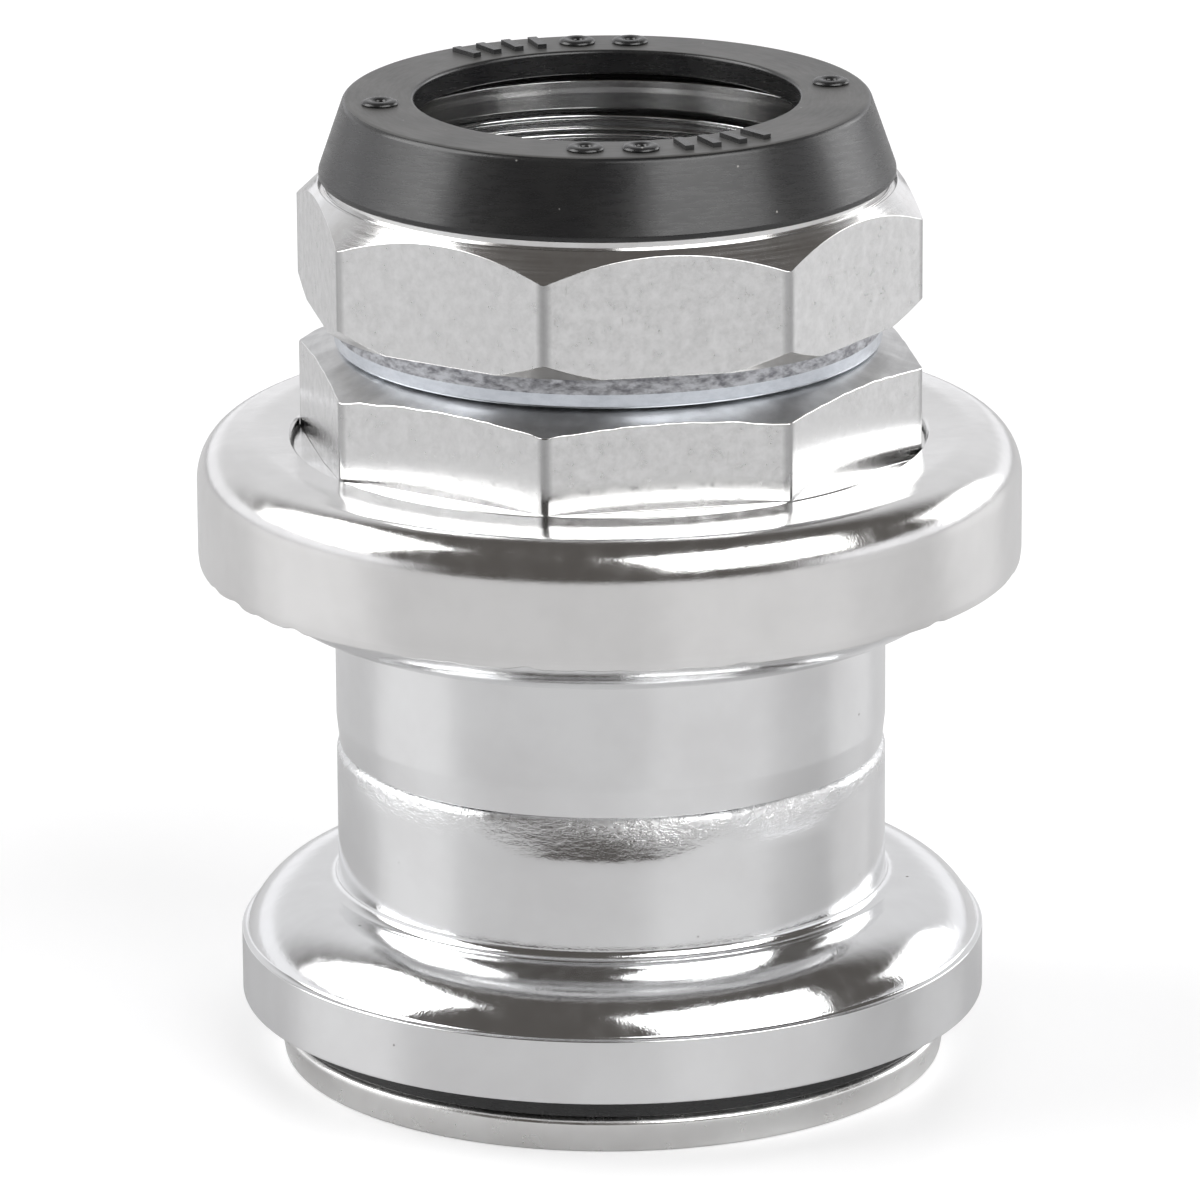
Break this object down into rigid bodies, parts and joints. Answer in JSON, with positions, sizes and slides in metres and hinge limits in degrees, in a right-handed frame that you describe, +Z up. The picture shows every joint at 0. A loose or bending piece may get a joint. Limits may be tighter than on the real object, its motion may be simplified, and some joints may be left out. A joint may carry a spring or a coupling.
{
  "type": "bicycle headset",
  "caption": "Threaded bicycle headset: two pressed cups with caged ball bearings, a crown race, an octagonal adjusting race with dust cover, a keyed washer, a locknut and a rubber seal.",
  "frame": {"origin": "centre of the crown race's underside, on the steering axis", "axes": "+Z up the steering axis from the crown race to the top seal; -Y faces the camera; +X to its right"},
  "size_m": [0.045, 0.045, 0.054],
  "materials": {
    "bright_chrome": "polished",
    "satin_chrome": "satin",
    "machined_chrome": "machined",
    "plated_race": "plated",
    "zinc_steel": "blue zinc",
    "cage_steel": "oiled",
    "ball_steel": "ground",
    "black_rubber": "satin"
  },
  "bodies": {
    "head_cups": {"lower_head_cup": "bright_chrome", "upper_head_cup": "bright_chrome"},
    "fork_race": {"crown_race": "plated_race", "ring_seal": "black_rubber"},
    "lower_cage": {"lower_retainer": "cage_steel", "lower_ball_01": "ball_steel", "lower_ball_02": "ball_steel", "lower_ball_03": "ball_steel", "lower_ball_04": "ball_steel", "lower_ball_05": "ball_steel", "lower_ball_06": "ball_steel", "lower_ball_07": "ball_steel", "lower_ball_08": "ball_steel", "lower_ball_09": "ball_steel", "lower_ball_10": "ball_steel", "lower_ball_11": "ball_steel", "lower_ball_12": "ball_steel", "lower_ball_13": "ball_steel", "lower_ball_14": "ball_steel", "lower_ball_15": "ball_steel", "lower_ball_16": "ball_steel"},
    "upper_cage": {"upper_retainer": "cage_steel", "upper_ball_01": "ball_steel", "upper_ball_02": "ball_steel", "upper_ball_03": "ball_steel", "upper_ball_04": "ball_steel", "upper_ball_05": "ball_steel", "upper_ball_06": "ball_steel", "upper_ball_07": "ball_steel", "upper_ball_08": "ball_steel", "upper_ball_09": "ball_steel", "upper_ball_10": "ball_steel", "upper_ball_11": "ball_steel", "upper_ball_12": "ball_steel", "upper_ball_13": "ball_steel", "upper_ball_14": "ball_steel", "upper_ball_15": "ball_steel", "upper_ball_16": "ball_steel"},
    "adjuster": {"adjusting_race": "machined_chrome", "dust_cover": "satin_chrome"},
    "washer": {"lock_washer": "zinc_steel"},
    "nut": {"locknut": "machined_chrome", "top_seal": "black_rubber"}
  },
  "joints": [
    {"name": "fork_turn", "type": "hinge", "parent": "head_cups", "child": "fork_race", "pos_m": [0, 0, 0], "axis": [0, 0, 1], "continuous": true},
    {"name": "adjuster_turn", "type": "hinge", "parent": "head_cups", "child": "adjuster", "pos_m": [0, 0, 0.0343], "axis": [0, 0, 1], "continuous": true},
    {"name": "lower_cage_turn", "type": "hinge", "parent": "head_cups", "child": "lower_cage", "pos_m": [0, 0, 0.00627], "axis": [0, 0, 1], "continuous": true},
    {"name": "upper_cage_turn", "type": "hinge", "parent": "head_cups", "child": "upper_cage", "pos_m": [0, 0, 0.02919], "axis": [0, 0, 1], "continuous": true},
    {"name": "washer_lift", "type": "slide", "parent": "adjuster", "child": "washer", "axis": [0, 0, 1], "range_m": [0, 0.00106]},
    {"name": "locknut_turn", "type": "hinge", "parent": "washer", "child": "nut", "pos_m": [0, 0, 0.04246], "axis": [0, 0, 1], "range_deg": [0, 360]}
  ],
  "couplings": [
    {"joint": "adjuster_turn", "follows": "fork_turn", "ratio": 1},
    {"joint": "lower_cage_turn", "follows": "fork_turn", "ratio": 0.45616},
    {"joint": "upper_cage_turn", "follows": "fork_turn", "ratio": 0.45616},
    {"joint": "washer_lift", "follows": "locknut_turn", "m_per_rad": 0.00016844}
  ]
}
